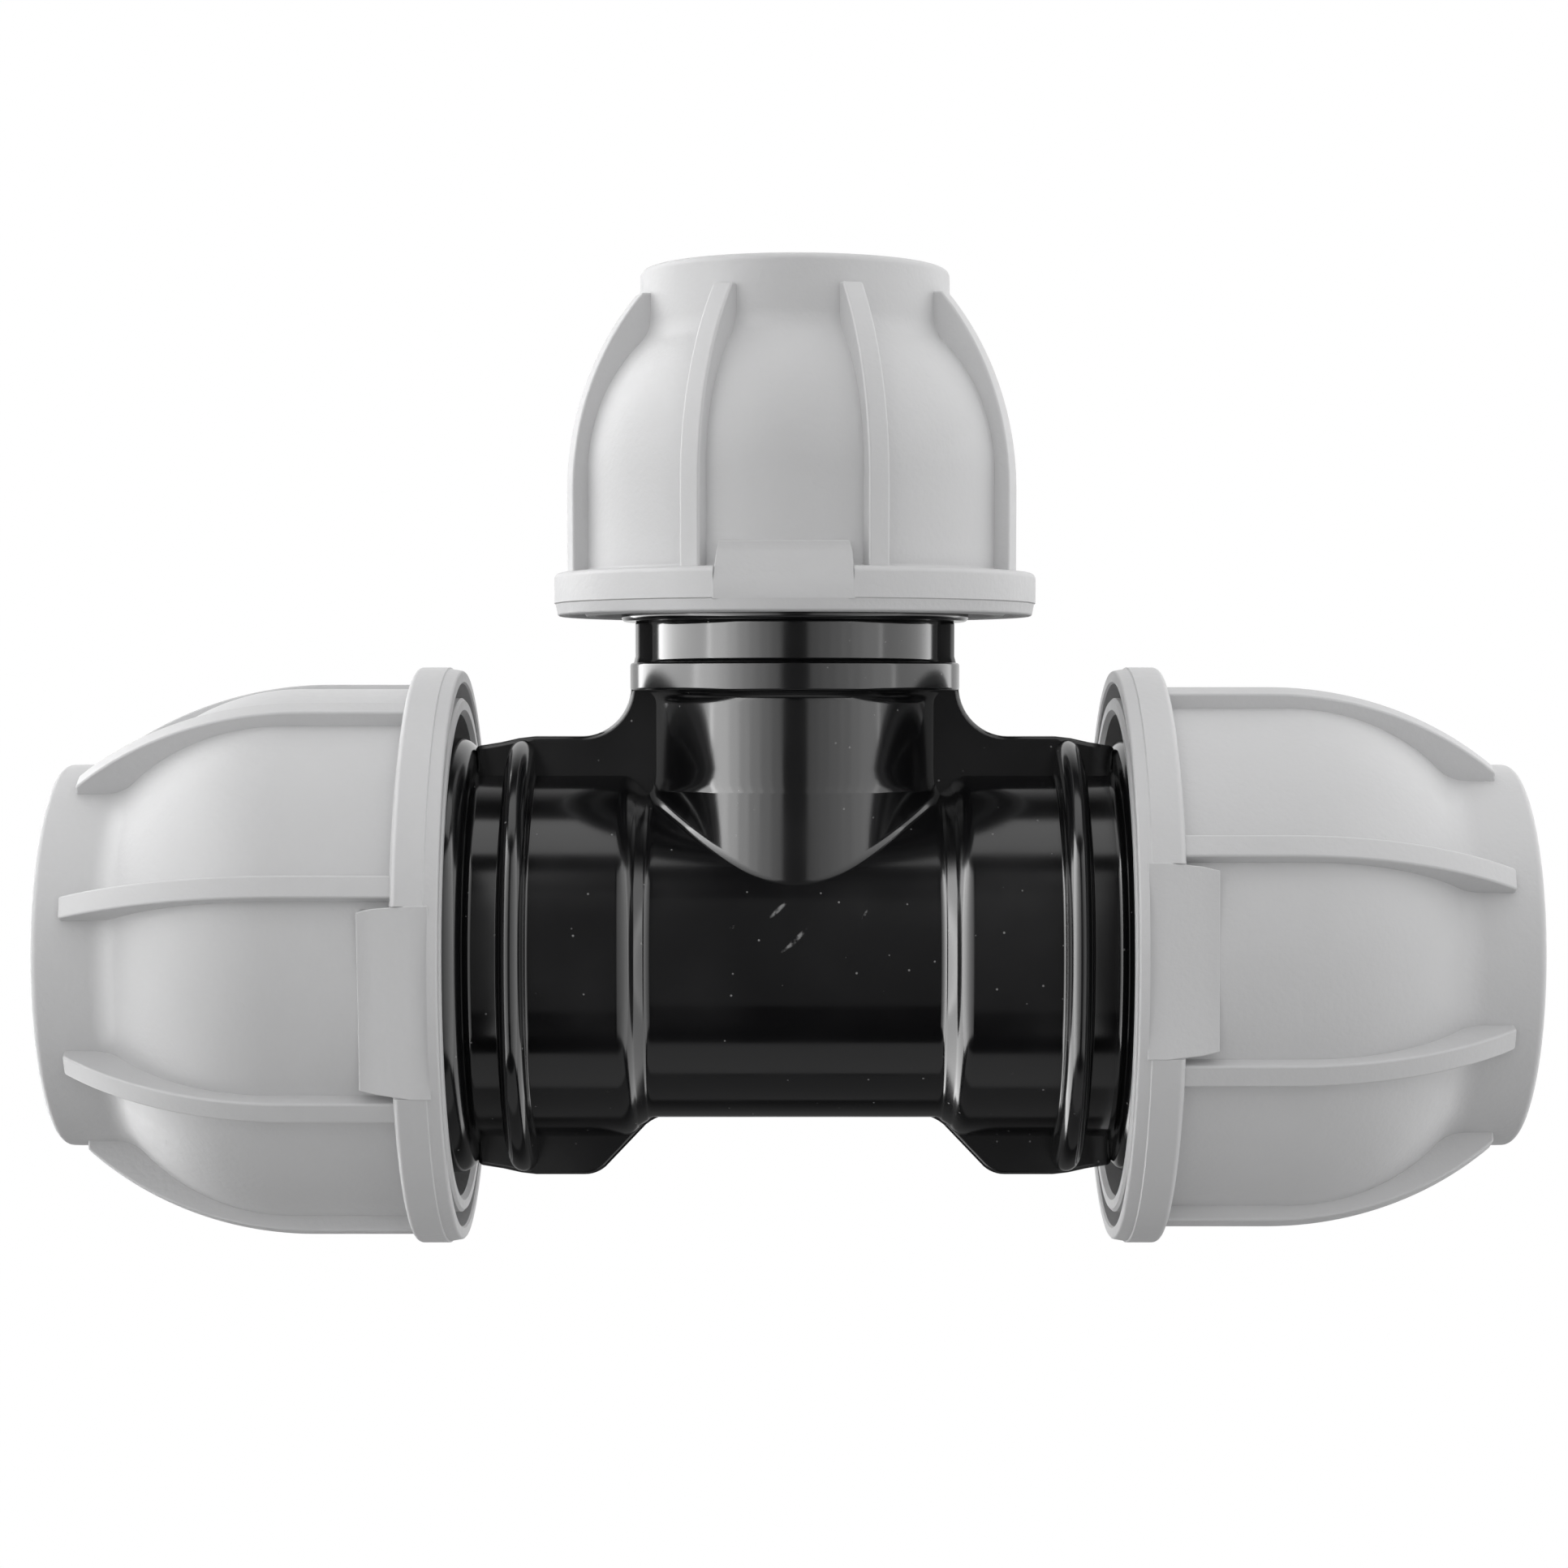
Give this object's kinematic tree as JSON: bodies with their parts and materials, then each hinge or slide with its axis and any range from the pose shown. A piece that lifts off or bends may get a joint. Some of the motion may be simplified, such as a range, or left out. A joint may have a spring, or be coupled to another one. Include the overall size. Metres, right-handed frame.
{
  "type": "compression pipe tee",
  "caption": "Screw-compression reducing tee for plastic water pipe: black body with ribbed grey nuts that tighten split grip rings, thrust bushes and O-rings.",
  "frame": {"origin": "where the axes of the run and the branch cross", "axes": "+X along the 32 mm run, +Z out of the 25 mm branch, +Y away from the viewer"},
  "size_m": [0.1603, 0.0641, 0.1074],
  "materials": {
    "body_black": "glossy moulded black polypropylene",
    "nut_grey": "satin moulded light-grey polypropylene",
    "grip_white": "white acetal, slightly waxy",
    "bush_black": "semi-matt moulded black polypropylene",
    "seal_rubber": "black nitrile rubber"
  },
  "bodies": {
    "tee_body": {"tee_body": "body_black", "left_o_ring": "seal_rubber", "right_o_ring": "seal_rubber", "branch_o_ring": "seal_rubber"},
    "left_grip": {"left_grip_ring": "grip_white", "left_thrust_bush": "bush_black"},
    "left_nut": {"left_nut": "nut_grey"},
    "right_grip": {"right_grip_ring": "grip_white", "right_thrust_bush": "bush_black"},
    "right_nut": {"right_nut": "nut_grey"},
    "branch_grip": {"branch_grip_ring": "grip_white", "branch_thrust_bush": "bush_black"},
    "branch_nut": {"branch_nut": "nut_grey"}
  },
  "joints": [
    {"name": "left_nut_travel", "type": "slide", "parent": "tee_body", "child": "left_grip", "axis": [-1, 0, 0], "range_m": [-0.0046, 0.0121]},
    {"name": "left_nut_turn", "type": "hinge", "parent": "left_grip", "child": "left_nut", "pos_m": [0, 0, 0], "axis": [-1, 0, 0], "range_deg": [-270, 720]},
    {"name": "right_nut_travel", "type": "slide", "parent": "tee_body", "child": "right_grip", "axis": [1, 0, 0], "range_m": [-0.0031, 0.0136]},
    {"name": "right_nut_turn", "type": "hinge", "parent": "right_grip", "child": "right_nut", "pos_m": [0, 0, 0], "axis": [1, 0, 0], "range_deg": [-180, 810]},
    {"name": "branch_nut_travel", "type": "slide", "parent": "tee_body", "child": "branch_grip", "axis": [0, 0, 1], "range_m": [-0.0026, 0.0101]},
    {"name": "branch_nut_turn", "type": "hinge", "parent": "branch_grip", "child": "branch_nut", "pos_m": [0, 0, 0], "axis": [0, 0, 1], "range_deg": [-180, 720]}
  ],
  "couplings": [
    {"joint": "left_nut_travel", "follows": "left_nut_turn", "m_per_rad": 0.00095493},
    {"joint": "right_nut_travel", "follows": "right_nut_turn", "m_per_rad": 0.00095493},
    {"joint": "branch_nut_travel", "follows": "branch_nut_turn", "m_per_rad": 0.00079577}
  ]
}
